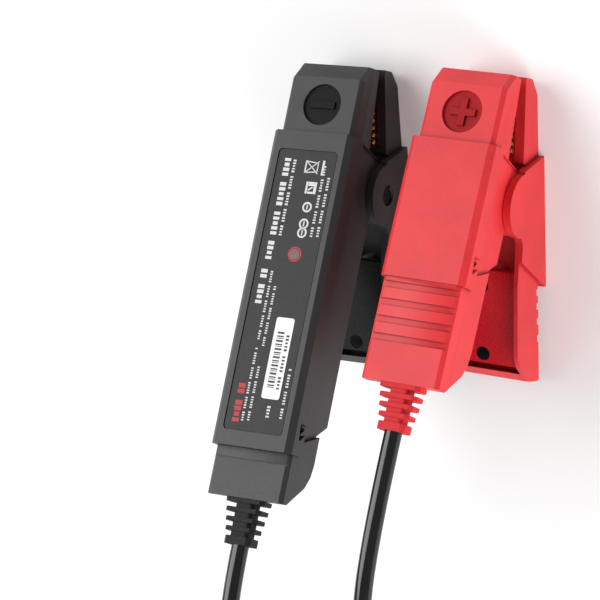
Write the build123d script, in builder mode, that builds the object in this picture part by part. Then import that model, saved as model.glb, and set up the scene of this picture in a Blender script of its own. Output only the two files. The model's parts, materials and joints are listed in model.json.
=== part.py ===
from build123d import *
from dataclasses import dataclass
from math import acos, atan2, cos, degrees, pi, radians, sin, sqrt, tan
import os

"""
Battery tester: a long black clamp that holds the tester's electronics and a
shorter red clamp, joined by one cable.

All sizes are in millimetres. Each clamp has two frames of its own, both with
their origin at the middle of its pivot axis and +X along that axis:
  front half: +Y towards the jaws, +Z out of the labelled front
  lever:      +Y towards the jaws, +Z from the lever's back to its open side
In the row frame both clamps lie on their levers' flat backs, with +Z up, +Y
towards the jaws and the origin on the resting plane under the black pivot.
"""

# ---------------------------------------------------------------- widths
jaw_half = 13.5            # half widths, each side of a clamp's middle plane
cover_half = 15.0
body_half = 12.8
lever_half = 15.7
grip_half = 14.6
side_gap = 0.25            # between the front half's ears and the lever's walls
ear_thickness = 2.4

# ---------------------------------------------------------------- front half, side view
jaw_tip = 37.2             # how far the jaws reach past the pivot
tip_bevel_length = 5.5
tip_bevel_depth = 4.2
jaw_front = 27.7
jaw_tip_inner = 18.2
jaw_root = 11.5
jaw_root_inner = 14.8
shoulder = 12.4            # where the raised cover plate starts
cover_front = 30.3
split_height = 22.0        # where the two front shells meet
body_back = 4.7
tail_back = 10.9
step_start = 12.9          # the back's step, measured from the cover plate's end
step_end = 8.8
heel = 9.6
ear_radius = 10.2
well_radius = 9.0          # clear room for the spring between the ears
cut_top = 24.0             # the slanted cut under the tail's end
cut_bottom = 14.5
cut_run = 7.0
shell_wall = 2.0
cover_chamfer = 1.9
edge_chamfer = 1.3
notch_depth = 1.2          # the arrow-shaped pocket, below the body's side
notch_top = 10.6           # its two ends, measured from the cover plate's end
notch_end = 4.5
notch_front = 26.4
notch_back = 18.4
notch_corner = 0.6
shoulder_drop = 4.6        # the tail's shoulder line, from the plate's end to the back's step
rib_pitch = 5.7
rib_groove = 2.3
rib_depth = 1.0
line_width = 0.5           # the fine groove across the black tail
line_depth = 0.4

# ---------------------------------------------------------------- lever, side view
rest_height = 15.5         # pivot axis above the lever's flat back
front_tilt = 31.3          # the front half's slope against the lever, jaws closed
lever_top = 12.6
lever_shoulder = 11.3
disc_radius = 10.6
thick_end = -32.3
grip_back = -11.3
lever_end = -64.3
lever_rim = 4.2
back_wall = 2.5
lever_jaw_root = 13.0
lever_jaw_root_inner = -4.5
lever_jaw_tip = 41.0
lever_jaw_tip_inner = -7.4
lever_bevel = 33.0

# ---------------------------------------------------------------- pivot and spring
pin_radius = 2.5
pin_running_gap = 0.05
pin_head_radius = pin_radius + 0.7
pin_head_thickness = 0.8
counterbore_radius = pin_head_radius + 0.3
counterbore_depth = 1.5
end_float = 0.05
spring_wire = 1.3
spring_gap = 0.1           # between the legs and the two backs
spring_radius = body_back - spring_gap - spring_wire / 2    # to the middle of the wire
spring_turns = 6           # whole turns; the rest comes from where the legs point
spring_side_gap = 1.92     # from the coil's ends to the ears
spring_front_leg = 19.0
spring_foot = 21.0         # where the other leg touches the lever, behind the pivot

# ---------------------------------------------------------------- trim and contacts
disc_insert_radius = 7.0
disc_insert_y = 22.4
disc_insert_depth = 1.6
disc_floor = 0.7
symbol_length = 9.0
symbol_width = 2.3
insert_gap = 0.05
contact_side_gap = 3.5     # from a contact's edge to the jaw's side
contact_start = 1.8        # from a jaw's root to its contact
contact_thickness = 0.8
contact_recess = 0.5
contact_length = 22.4
tooth_pitch = 2.4
fixed_tooth = 0.8
lever_tooth = 1.4
tooth_count = 9
contact_bolt_radius = 1.5
contact_bolt_spread = 6.0
contact_bolt_head = 0.5
contact_nut_height = 1.6
lever_screw_length = 5.0

# ---------------------------------------------------------------- fasteners
shell_screw_radius = 1.25
shell_screw_head = 2.3
shell_screw_head_height = 1.4
shell_boss_radius = 3.2
boss_overlap = 0.4         # how far a boss runs into the side wall
screw_clearance = 0.15
boss_seat_depth = 8.0      # from the shells' joint back to the screw heads' seats
screw_bite = 4.5
cross_width = 0.5          # the cross recess in a screw's head
cross_length = 2.6
cross_depth = 0.7
liner_screw_length = 6.0
liner_screw_seat = 0.9
liner_screw_head_height = 0.7
liner_thickness = 1.6
liner_front = 1.0
liner_top = -23.0
liner_gap = 0.1
liner_post_radius = 3.4

# ---------------------------------------------------------------- electronics
board_side_gap = 1.2
board_top = -22.8          # the circuit board's two ends along the black clamp
board_end = -68.2
board_back = 17.4
board_thickness = 1.6
board_post_radius = 1.5
label_half = 11.1
label_top = 6.2
label_end = -88.2
label_recess = 0.6
label_thickness = 0.35
label_corner = 1.5
label_gap = 0.3
lens_radius = 1.9
lens_x = 2.3
lens_y = -28.7
wire_radius = 0.8
wire_end_gap = 0.3

# ---------------------------------------------------------------- cable
cable_diameter = 5.8
relief_ring_depth = 7.4
relief_first_width = 14.4
relief_last_width = 9.8
relief_rings = 4
relief_pitch = 3.1
relief_ring = 1.4
relief_collar = 2.6
relief_drop = 4.2          # cable axis behind the tail's front face
relief_core = 7.0
relief_flange = 2.0
relief_neck_gap = 0.1      # round the neck in the tail's hole
relief_corner = 1.4

tiny = 0.01

# ---------------------------------------------------------------- worked out from the above
tilt = Location((0, 0, 0), (-front_tilt, 0, 0))
jaw_slope = degrees(atan2(jaw_tip_inner - jaw_root_inner, jaw_tip - jaw_root))
lever_jaw_slope = degrees(
    atan2(lever_jaw_tip_inner - lever_jaw_root_inner, lever_jaw_tip - lever_jaw_root)
)
channel_half = body_half + side_gap
cavity_half = body_half - shell_wall
counterbore_floor = lever_half - counterbore_depth
contact_half = jaw_half - contact_side_gap
board_half = cavity_half - board_side_gap
screw_half = cavity_half - shell_boss_radius + boss_overlap


@dataclass
class Clamp:
    """What one clamp has of its own; everything else is shared by both."""

    name: str
    cover_end: float
    tail_end: float
    tail_front: float
    tail_half: float
    grip_ribs: int
    screw_spots: list
    seat: Location


black = Clamp(
    name="black",
    cover_end=-93.2,
    tail_end=-109.2,
    tail_front=27.3,
    tail_half=14.2,
    grip_ribs=0,
    screw_spots=[(x, y) for x in (-screw_half, screw_half) for y in (-17.0, -74.0)],
    seat=Location((0, 0, rest_height)),
)
red = Clamp(
    name="red",
    cover_end=-33.8,
    tail_end=-67.3,
    tail_front=29.4,
    tail_half=13.8,
    grip_ribs=4,
    screw_spots=[(-screw_half, -15.0), (screw_half, -15.0), (0.0, -42.0)],
    seat=Location((50.3, 1.2, rest_height), (0, 0, -2.2)),
)

os.makedirs("parts", exist_ok=True)


def finish(piece, name, seat):
    """Label a finished piece, seat it in the row frame and write its STEP file."""
    piece.part.label = name
    export_step(seat * piece.part, f"parts/{name}.step")


def finish_front(piece, clamp, name):
    """Finish a piece that was made in a clamp's front-half frame."""
    finish(piece, f"{clamp.name}_{name}", clamp.seat * tilt)


def finish_lever(piece, clamp, name):
    """Finish a piece that was made in a clamp's lever frame."""
    finish(piece, f"{clamp.name}_{name}", clamp.seat)


# ---------------------------------------------------------------- front shells
def front_outline(clamp):
    """Side view of a whole front half without its ears."""
    well_edge = sqrt(well_radius**2 - body_back**2)
    with BuildSketch() as view:
        with BuildLine():
            Polyline(
                (well_edge, body_back),
                (heel, body_back),
                (jaw_root, jaw_root_inner),
                (jaw_tip, jaw_tip_inner),
                (jaw_tip, jaw_front - tip_bevel_depth),
                (jaw_tip - tip_bevel_length, jaw_front),
                (shoulder, jaw_front),
                (shoulder, cover_front),
                (clamp.cover_end, cover_front),
                (clamp.cover_end, clamp.tail_front),
                (clamp.tail_end, clamp.tail_front),
                (clamp.tail_end, cut_top),
                (clamp.tail_end + cut_run, cut_bottom),
                (clamp.tail_end + cut_run + 4.0, tail_back + 1.0),
                (clamp.tail_end + cut_run + 8.5, tail_back),
                (clamp.cover_end + step_end, tail_back),
                (clamp.cover_end + step_start, body_back),
                (-well_edge, body_back),
            )
            ThreePointArc((-well_edge, body_back), (0, well_radius), (well_edge, body_back))
        make_face()
    return view.sketch_local


def jaw_region(clamp):
    """Side view of the jaw block, down to the crease that runs to the ears."""
    with BuildSketch() as view:
        add(front_outline(clamp))
        with BuildLine():
            Polyline(
                (heel + 0.2, body_back + 1.5),
                (shoulder + 0.7, split_height + 2.8),
                (shoulder, cover_front + 1),
                (jaw_tip + 1, cover_front + 1),
                (jaw_tip + 1, body_back + 1.5),
                close=True,
            )
        make_face(mode=Mode.INTERSECT)
    return view.sketch_local


def tail_region(clamp):
    """Side view of the tail, below the shoulder line that runs from the notch to the back's step."""
    with BuildSketch() as view:
        add(front_outline(clamp))
        with BuildLine():
            Polyline(
                (clamp.cover_end + step_end + 0.1, tail_back - 1),
                (clamp.cover_end + shoulder_drop, split_height),
                (clamp.cover_end, split_height + 4),
                (clamp.cover_end, cover_front + 1),
                (clamp.tail_end - 1, cover_front + 1),
                (clamp.tail_end - 1, tail_back - 1),
                close=True,
            )
        make_face(mode=Mode.INTERSECT)
    return view.sketch_local


def cut_cavity(clamp):
    """Hollow out a front shell, one wall inside the outline."""
    with BuildSketch(Plane.YZ) as inside:
        add(front_outline(clamp))
        offset(amount=-shell_wall, mode=Mode.REPLACE)
    extrude(inside.sketch, amount=cavity_half, both=True, mode=Mode.SUBTRACT)


def cut_notches(clamp):
    """The arrow-shaped pockets in both sides, at the lower end of the cover plate."""
    floor = body_half - notch_depth
    for side in (-1, 1):
        with BuildSketch(Plane.YZ.offset(side * floor)) as arrow:
            with BuildLine():
                Polyline(
                    (clamp.cover_end + notch_top, notch_front),
                    (clamp.cover_end + notch_top - 0.8, notch_back),
                    (clamp.cover_end + notch_end, notch_front - 0.8),
                    close=True,
                )
            make_face()
            fillet(arrow.vertices(), notch_corner)
        extrude(arrow.sketch, amount=side * (cover_half + 1 - floor), mode=Mode.SUBTRACT)


def relief_axis(clamp):
    return clamp.tail_front - relief_drop


def neck_start(clamp):
    """Where the strain relief's neck ends inside the tail."""
    return clamp.tail_end + cut_run + shell_wall + 1.0


def cut_relief_seat(clamp):
    """The hole in the tail's end that the strain relief's neck passes through."""
    with BuildSketch(Plane.XZ.offset(-clamp.tail_end + tiny)) as hole:
        with Locations((0, relief_axis(clamp))):
            RectangleRounded(relief_core, relief_core - 1.0, relief_corner + relief_neck_gap)
    extrude(hole.sketch, amount=clamp.tail_end - neck_start(clamp) - 2 * tiny, mode=Mode.SUBTRACT)


def base_shell(clamp):
    with BuildPart() as shell:
        with BuildSketch(Plane.YZ):
            add(front_outline(clamp))
            Circle(ear_radius)
        extrude(amount=body_half, both=True)
        with BuildSketch(Plane.YZ):
            add(jaw_region(clamp))
        extrude(amount=jaw_half, both=True)
        with BuildSketch(Plane.YZ):
            add(tail_region(clamp))
        extrude(amount=clamp.tail_half, both=True)
        split(bisect_by=Plane.XY.offset(split_height), keep=Keep.BOTTOM)
        # room for the spring between the two ears
        with BuildSketch(Plane.YZ):
            Circle(well_radius)
            with Locations((0, body_back / 2 - ear_radius / 2)):
                Rectangle(2 * ear_radius + 1, ear_radius + body_back)
        extrude(amount=body_half - ear_thickness, both=True, mode=Mode.SUBTRACT)
        cut_cavity(clamp)
        cut_notches(clamp)
        cut_relief_seat(clamp)
        # bosses for the screws that hold the two shells together
        for x, y in clamp.screw_spots:
            with BuildSketch(Plane.XY.offset(split_height)):
                with Locations((x, y)):
                    Circle(shell_boss_radius)
            extrude(amount=-(split_height - back_at(clamp, y) - shell_wall / 2))
        with Locations(*[(x, y, 0) for x, y in clamp.screw_spots]):
            Cylinder(
                shell_screw_radius + screw_clearance,
                split_height + 1,
                align=(Align.CENTER, Align.CENTER, Align.MIN),
                mode=Mode.SUBTRACT,
            )
            Cylinder(
                shell_screw_head + screw_clearance,
                split_height - boss_seat_depth,
                align=(Align.CENTER, Align.CENTER, Align.MIN),
                mode=Mode.SUBTRACT,
            )
        # bore for the pivot pin
        with BuildSketch(Plane.YZ):
            Circle(pin_radius)
        extrude(amount=body_half + 1, both=True, mode=Mode.SUBTRACT)
        cut_contact_pocket()
        if clamp is black:
            with BuildSketch(Plane.XY.offset(body_back + shell_wall - tiny)):
                with Locations(*board_posts()):
                    Circle(board_post_radius)
            extrude(amount=board_back - body_back - shell_wall + tiny)
    finish_front(shell, clamp, "base_shell")


def back_at(clamp, y):
    """Height of the front half's back at a place along it."""
    return body_back if y > clamp.cover_end + step_start else tail_back


def board_posts():
    inset = board_post_radius + 0.8
    return [
        (side * (board_half - inset), y)
        for side in (-1, 1)
        for y in (board_top - inset, board_end + inset)
    ]


def front_cover(clamp):
    with BuildPart() as cover:
        # raised plate
        with BuildSketch(Plane.YZ):
            with BuildLine():
                Polyline(
                    (shoulder, split_height),
                    (shoulder, cover_front),
                    (clamp.cover_end, cover_front),
                    (clamp.cover_end, split_height),
                    close=True,
                )
            make_face()
        extrude(amount=cover_half, both=True)
        chamfer(cover.edges().filter_by(Axis.Y).group_by(Axis.Z)[-1], cover_chamfer)
        # jaw block
        with BuildSketch(Plane.YZ):
            add(front_outline(clamp))
        extrude(amount=body_half, both=True)
        with BuildSketch(Plane.YZ):
            add(jaw_region(clamp))
        extrude(amount=jaw_half, both=True)
        rim = [
            edge
            for edge in cover.edges()
            if abs(abs(edge.center().X) - jaw_half) < tiny
            and edge.center().Y > shoulder + 1
            and edge.center().Z > jaw_front - tip_bevel_depth
        ]
        chamfer(rim, edge_chamfer)
        # tail
        with BuildSketch(Plane.YZ):
            add(tail_region(clamp))
        extrude(amount=clamp.tail_half, both=True)
        rim = [
            edge
            for edge in cover.edges().filter_by(Axis.Y)
            if abs(abs(edge.center().X) - clamp.tail_half) < tiny
            and abs(edge.center().Z - clamp.tail_front) < tiny
        ]
        chamfer(rim, edge_chamfer)
        split(bisect_by=Plane.XY.offset(split_height), keep=Keep.TOP)
        cut_cavity(clamp)
        cut_notches(clamp)
        cut_relief_seat(clamp)
        cut_tail_grooves(clamp)
        # pocket for the polarity disc
        with BuildSketch(Plane.XY.offset(jaw_front)):
            with Locations((0, disc_insert_y)):
                Circle(disc_insert_radius)
        extrude(amount=-disc_insert_depth, mode=Mode.SUBTRACT)
        # pillars that the shell screws bite into
        with BuildSketch(Plane.XY.offset(split_height)):
            with Locations(*clamp.screw_spots):
                Circle(shell_boss_radius)
        extrude(until=Until.NEXT)
        with BuildSketch(Plane.XY.offset(split_height)):
            with Locations(*clamp.screw_spots):
                Circle(shell_screw_radius)
        extrude(amount=screw_bite, mode=Mode.SUBTRACT)
        if clamp is black:
            with BuildSketch(Plane.XY.offset(cover_front)):
                with Locations((0, (label_top + label_end) / 2)):
                    RectangleRounded(2 * label_half, label_top - label_end, label_corner)
            extrude(amount=-label_recess, mode=Mode.SUBTRACT)
            with BuildSketch(Plane.XY.offset(cover_front)):
                with Locations((lens_x, lens_y)):
                    Circle(lens_radius)
            extrude(amount=-(cover_front - split_height), mode=Mode.SUBTRACT)
    finish_front(cover, clamp, "front_cover")


def cut_tail_grooves(clamp):
    """Cross grooves in the tail: four wide ones between grip ribs, or one fine line."""
    if clamp.grip_ribs:
        spots = [clamp.cover_end - 2.6 - k * rib_pitch for k in range(clamp.grip_ribs)]
        width, depth = rib_groove, rib_depth
    else:
        spots = [clamp.cover_end - 3.6]
        width, depth = line_width, line_depth
    with BuildSketch(Plane.XY.offset(clamp.tail_front)) as grooves:
        with Locations(*[(0, y) for y in spots]):
            Rectangle(2 * clamp.tail_half + 1, width)
    extrude(grooves.sketch, amount=-depth, mode=Mode.SUBTRACT)


def polarity_disc(clamp):
    """Round insert with a raised minus or plus on its sunken floor."""
    seat = jaw_front - disc_insert_depth
    with BuildPart() as disc:
        with BuildSketch(Plane.XY.offset(seat)):
            with Locations((0, disc_insert_y)):
                Circle(disc_insert_radius - insert_gap)
        extrude(amount=disc_floor)
        with BuildSketch(Plane.XY.offset(seat + disc_floor)):
            with Locations((0, disc_insert_y)):
                Rectangle(symbol_length, symbol_width)
                if clamp is red:
                    Rectangle(symbol_width, symbol_length)
        extrude(amount=disc_floor)
    finish_front(disc, clamp, "polarity_disc")


def shell_screws(clamp):
    seat = split_height - boss_seat_depth
    with BuildPart() as screws:
        with BuildSketch(Plane.XY.offset(seat)):
            with Locations(*clamp.screw_spots):
                Circle(shell_screw_radius)
        extrude(amount=boss_seat_depth + screw_bite)
        with BuildSketch(Plane.XY.offset(seat)):
            with Locations(*clamp.screw_spots):
                Circle(shell_screw_head)
        extrude(amount=-shell_screw_head_height)
        with BuildSketch(Plane.XY.offset(seat - shell_screw_head_height)):
            with Locations(*clamp.screw_spots):
                Rectangle(cross_width, cross_length)
                Rectangle(cross_length, cross_width)
        extrude(amount=cross_depth, mode=Mode.SUBTRACT)
    finish_front(screws, clamp, "shell_screws")


# ---------------------------------------------------------------- contacts
def jaw_plane():
    """Plane on the fixed jaw's inner face, +Z into the throat, +Y towards the tip."""
    return Plane(
        origin=(0, jaw_root, jaw_root_inner),
        x_dir=(-1, 0, 0),
        z_dir=(0, sin(radians(jaw_slope)), -cos(radians(jaw_slope))),
    )


def lever_jaw_plane():
    """Plane on the moving jaw's inner face, +Z into the throat, +Y towards the tip."""
    return Plane(
        origin=(0, lever_jaw_root, lever_jaw_root_inner),
        x_dir=(1, 0, 0),
        z_dir=(0, -sin(radians(lever_jaw_slope)), cos(radians(lever_jaw_slope))),
    )


def contact_middle():
    return contact_start + contact_length / 2


def bolt_spots():
    return [(0, contact_middle() - contact_bolt_spread), (0, contact_middle() + contact_bolt_spread)]


def cut_contact_pocket():
    """Shallow seat for the fixed contact, and the holes of its two bolts."""
    with BuildSketch(jaw_plane()) as pocket:
        with Locations((0, contact_middle())):
            Rectangle(2 * (contact_half + insert_gap), contact_length + 2 * insert_gap)
    extrude(pocket.sketch, amount=-contact_recess, mode=Mode.SUBTRACT)
    with BuildSketch(jaw_plane()) as holes:
        with Locations(*bolt_spots()):
            Circle(contact_bolt_radius)
    extrude(holes.sketch, amount=-(shell_wall + 2), mode=Mode.SUBTRACT)


def contact(plane, tooth):
    """Copper plate with a row of teeth along both edges."""
    teeth_start = contact_start + 0.4
    with BuildPart() as plate:
        with BuildSketch(plane.offset(-contact_recess)):
            with Locations((0, contact_middle())):
                Rectangle(2 * contact_half, contact_length)
            with Locations(*bolt_spots()):
                Circle(contact_bolt_radius, mode=Mode.SUBTRACT)
        extrude(amount=contact_thickness)
        base = contact_thickness - contact_recess
        side = Plane(origin=plane.origin, x_dir=plane.y_dir, z_dir=plane.x_dir)
        turned = 1 if side.y_dir.dot(plane.z_dir) > 0 else -1
        for edge in (-1, 1):
            inner = edge * (contact_half - contact_thickness)
            with BuildSketch(side.offset(inner)):
                for k in range(tooth_count):
                    start = teeth_start + k * tooth_pitch
                    with BuildLine():
                        Polyline(
                            (start, turned * (base - tiny)),
                            (start + tooth_pitch / 2, turned * (base + tooth)),
                            (start + tooth_pitch, turned * (base - tiny)),
                            close=True,
                        )
                    make_face()
            extrude(amount=edge * contact_thickness)
    return plate


def fixed_contact(clamp):
    plate = contact(jaw_plane(), fixed_tooth)
    finish_front(plate, clamp, "fixed_contact")
    with BuildPart() as bolts:
        with BuildSketch(jaw_plane().offset(contact_thickness - contact_recess)):
            with Locations(*bolt_spots()):
                Circle(1.8 * contact_bolt_radius)
        extrude(amount=contact_bolt_head)
        with BuildSketch(jaw_plane().offset(contact_thickness - contact_recess)):
            with Locations(*bolt_spots()):
                Circle(contact_bolt_radius)
        extrude(amount=-(shell_wall + contact_thickness + 1.8))
    finish_front(bolts, clamp, "contact_bolts")
    with BuildPart() as nuts:
        with BuildSketch(jaw_plane().offset(-shell_wall)):
            with Locations(*bolt_spots()):
                RegularPolygon(1.9 * contact_bolt_radius, 6)
                Circle(contact_bolt_radius, mode=Mode.SUBTRACT)
        extrude(amount=-contact_nut_height)
    finish_front(nuts, clamp, "contact_nuts")


def lever_contact(clamp):
    plate = contact(lever_jaw_plane(), lever_tooth)
    finish_lever(plate, clamp, "lever_contact")
    with BuildPart() as screws:
        with BuildSketch(lever_jaw_plane().offset(contact_thickness - contact_recess)):
            with Locations(*bolt_spots()):
                Circle(1.8 * contact_bolt_radius)
        extrude(amount=contact_bolt_head)
        with BuildSketch(lever_jaw_plane().offset(contact_thickness - contact_recess)):
            with Locations(*bolt_spots()):
                Circle(contact_bolt_radius)
        extrude(amount=-lever_screw_length)
    finish_lever(screws, clamp, "lever_contact_screws")


# ---------------------------------------------------------------- lever
def lever(clamp):
    with BuildPart() as arm:
        # side walls and back, wide part round the pivot
        with BuildSketch(Plane.YZ):
            with BuildLine():
                Polyline(
                    (lever_top, -rest_height),
                    (lever_shoulder, -1.0),
                    (0, 0),
                    (-10.0, 2.8),
                    (-13.0, 1.7),
                    (-18.8, lever_rim - 1.6),
                    (thick_end + 1.2, grip_back - 2.0),
                    (thick_end, grip_back - 2.6),
                    (thick_end, -rest_height),
                    close=True,
                )
            make_face()
            Circle(disc_radius)
        extrude(amount=lever_half, both=True)
        # narrower grip with its slanted end
        with BuildSketch(Plane.YZ):
            with BuildLine():
                Polyline(
                    (-5.0, grip_back),
                    (-5.0, 0),
                    (-13.0, 1.7),
                    (-27.0, lever_rim - 0.4),
                    (-51.0, lever_rim + 0.4),
                    (-55.5, lever_rim - 1.4),
                    (-62.4, -3.2),
                    (lever_end, grip_back + 2.0),
                    (lever_end, grip_back),
                    close=True,
                )
            make_face()
        extrude(amount=grip_half, both=True)
        # open channel between the side walls
        with BuildSketch(Plane.YZ):
            with BuildLine():
                Polyline(
                    (lever_top + 1, disc_radius + 1),
                    (lever_top + 1, -rest_height + back_wall),
                    (thick_end + back_wall, -rest_height + back_wall),
                    (thick_end + back_wall, grip_back + back_wall),
                    (lever_end + back_wall, grip_back + back_wall),
                    (lever_end + back_wall + 1.9, -3.2),
                    (-55.0, disc_radius + 1),
                    close=True,
                )
            make_face()
        extrude(amount=channel_half, both=True, mode=Mode.SUBTRACT)
        # jaw
        with BuildSketch(Plane.YZ):
            with BuildLine():
                Polyline(
                    (lever_top - 0.5, -rest_height),
                    (lever_bevel, -rest_height),
                    (lever_jaw_tip - 1.8, -rest_height + 3.4),
                    (lever_jaw_tip, lever_jaw_tip_inner),
                    (lever_jaw_root, lever_jaw_root_inner),
                    (lever_top - 0.5, lever_jaw_root_inner - 1.0),
                    close=True,
                )
            make_face()
        extrude(amount=jaw_half, both=True)
        # grip grooves across the back
        with BuildSketch(Plane.XY.offset(grip_back)):
            with Locations(*[(0, y) for y in (-33.4, -38.3, -43.6, -49.6)]):
                Rectangle(2 * grip_half + 1, 2.4)
        extrude(amount=1.1, mode=Mode.SUBTRACT)
        # posts that carry the liner
        for x, y in liner_spots():
            floor = (-rest_height if y > thick_end else grip_back) + back_wall
            with BuildSketch(Plane.XY.offset(floor - tiny)):
                with Locations((x, y)):
                    Circle(liner_post_radius)
            extrude(amount=liner_front - liner_thickness - floor + tiny)
        with BuildSketch(Plane.XY.offset(liner_front)):
            with Locations(*liner_spots()):
                Circle(shell_screw_radius)
        extrude(amount=-(liner_thickness + liner_screw_length), mode=Mode.SUBTRACT)
        # pivot bores and counterbores
        with BuildSketch(Plane.YZ):
            Circle(pin_radius + pin_running_gap)
        extrude(amount=lever_half + 1, both=True, mode=Mode.SUBTRACT)
        for side in (-1, 1):
            with BuildSketch(Plane.YZ.offset(side * counterbore_floor)):
                Circle(counterbore_radius)
            extrude(amount=side * (counterbore_depth + 1), mode=Mode.SUBTRACT)
        # seat of the moving contact
        with BuildSketch(lever_jaw_plane()):
            with Locations((0, contact_middle())):
                Rectangle(2 * (contact_half + insert_gap), contact_length + 2 * insert_gap)
        extrude(amount=-contact_recess, mode=Mode.SUBTRACT)
        with BuildSketch(lever_jaw_plane()):
            with Locations(*bolt_spots()):
                Circle(contact_bolt_radius)
        extrude(amount=-lever_screw_length, mode=Mode.SUBTRACT)
    finish_lever(arm, clamp, "lever")


def liner_spots():
    return [(0, -29.0), (0, -53.0)]


def lever_liner(clamp):
    """Flat inner panel that closes the grip's hollow, with its two screws."""
    end = lever_end + back_wall + 5.6
    with BuildPart() as liner:
        with BuildSketch(Plane.XY.offset(liner_front - liner_thickness)):
            with Locations((0, (liner_top + end) / 2)):
                Rectangle(2 * (channel_half - liner_gap), liner_top - end)
        extrude(amount=liner_thickness)
        fillet(liner.edges().filter_by(Axis.X).group_by(Axis.Z)[-1].sort_by(Axis.Y)[-1], 0.7)
        with BuildSketch(Plane.XY.offset(liner_front)):
            with Locations(*liner_spots()):
                Circle(shell_screw_head + screw_clearance)
        extrude(amount=-liner_screw_seat, mode=Mode.SUBTRACT)
        with BuildSketch(Plane.XY.offset(liner_front)):
            with Locations(*liner_spots()):
                Circle(shell_screw_radius + screw_clearance)
        extrude(amount=-liner_thickness, mode=Mode.SUBTRACT)
    finish_lever(liner, clamp, "lever_liner")
    with BuildPart() as screws:
        with BuildSketch(Plane.XY.offset(liner_front - liner_screw_seat)):
            with Locations(*liner_spots()):
                Circle(shell_screw_head)
        extrude(amount=liner_screw_head_height)
        with BuildSketch(Plane.XY.offset(liner_front - liner_screw_seat)):
            with Locations(*liner_spots()):
                Circle(shell_screw_radius)
        extrude(amount=-(liner_thickness - liner_screw_seat + liner_screw_length))
    finish_lever(screws, clamp, "liner_screws")


# ---------------------------------------------------------------- pivot
def pivot(clamp):
    head = counterbore_floor + end_float
    with BuildPart() as pin:
        with BuildSketch(Plane.YZ.offset(-head - pin_head_thickness)):
            Circle(pin_radius)
        extrude(amount=2 * head + 2 * pin_head_thickness)
        with BuildSketch(Plane.YZ.offset(head)):
            Circle(pin_head_radius)
        extrude(amount=pin_head_thickness)
    finish_front(pin, clamp, "pivot_pin")
    with BuildPart() as clip:
        with BuildSketch(Plane.YZ.offset(-head)):
            Circle(pin_head_radius)
            Circle(pin_radius, mode=Mode.SUBTRACT)
        extrude(amount=-pin_head_thickness)
    finish_front(clip, clamp, "pin_clip")
    if clamp is red:
        with BuildPart() as caps:
            for side in (-1, 1):
                with BuildSketch(Plane.YZ.offset(side * (head + pin_head_thickness + end_float))):
                    Circle(counterbore_radius)
                extrude(amount=side * (lever_half - head - pin_head_thickness - end_float))
        finish_lever(caps, clamp, "pivot_caps")


def torsion_spring(clamp):
    """
    Coil round the pin. One leg lies along the front half's back and the other presses on the
    lever's back. The coil is made about its own +Z, which is then turned onto the pin's axis,
    and starts where the front half's leg leaves it.
    """
    wire = spring_wire / 2
    bearing_depth = rest_height - back_wall - wire - spring_gap
    reach = sqrt(spring_foot**2 + bearing_depth**2)
    foot_turn = degrees(acos(spring_radius / reach) - atan2(spring_foot, bearing_depth))
    turns = spring_turns + (180 - foot_turn - front_tilt) / 360
    length = 2 * (body_half - ear_thickness - spring_side_gap) - spring_wire
    legs = (spring_front_leg, sqrt(reach**2 - spring_radius**2))
    with BuildPart() as spring:
        with BuildLine():
            coil = Helix(length / turns, length, spring_radius)
        with BuildSketch(Plane(origin=coil @ 0, z_dir=coil % 0)):
            Circle(wire)
        sweep(path=coil, is_frenet=True)
        for end, direction, leg in ((0, -1, legs[0]), (1, 1, legs[1])):
            with BuildSketch(Plane(origin=coil @ end, z_dir=(coil % end) * direction)):
                Circle(wire)
            extrude(amount=leg)
    front_up = Vector(0, sin(radians(front_tilt)), cos(radians(front_tilt)))
    on_pin = Plane(origin=(length / 2, 0, 0), x_dir=front_up, z_dir=(-1, 0, 0))
    finish(spring, f"{clamp.name}_torsion_spring", clamp.seat * on_pin.location)


# ---------------------------------------------------------------- strain reliefs and cable
def relief_length():
    return relief_rings * relief_pitch + relief_collar


def strain_relief(clamp):
    """Flexible boot moulded on the cable: a flange inside the tail, a core and flat rings outside."""
    axis = relief_axis(clamp)
    end = clamp.tail_end
    inner = neck_start(clamp)
    with BuildPart() as boot:
        with BuildSketch(Plane.XZ.offset(-inner)):
            with Locations((0, axis)):
                neck = relief_core - 2 * relief_neck_gap
                RectangleRounded(neck, neck - 1.0, relief_corner)
        extrude(amount=inner - end + relief_length())
        with BuildSketch(Plane.XZ.offset(-inner)):
            with Locations((0, axis)):
                RectangleRounded(relief_first_width, 2 * (relief_drop - shell_wall - insert_gap), 1.0)
        extrude(amount=-relief_flange)
        for ring in range(relief_rings + 1):
            share = ring / relief_rings
            width = relief_first_width + share * (relief_last_width - relief_first_width)
            thick = relief_ring if ring < relief_rings else relief_collar
            with BuildSketch(Plane.XZ.offset(-end + ring * relief_pitch)):
                with Locations((0, axis)):
                    Rectangle(width, relief_ring_depth)
                    chamfer(vertices(), relief_corner)
            extrude(amount=thick)
    finish_front(boot, clamp, "strain_relief")


def cable_point(clamp, distance):
    """Point straight out of a strain relief's outer face, in the row frame."""
    local = Location((0, clamp.tail_end - relief_length() - distance, relief_axis(clamp)))
    return (clamp.seat * tilt * local).position


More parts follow.
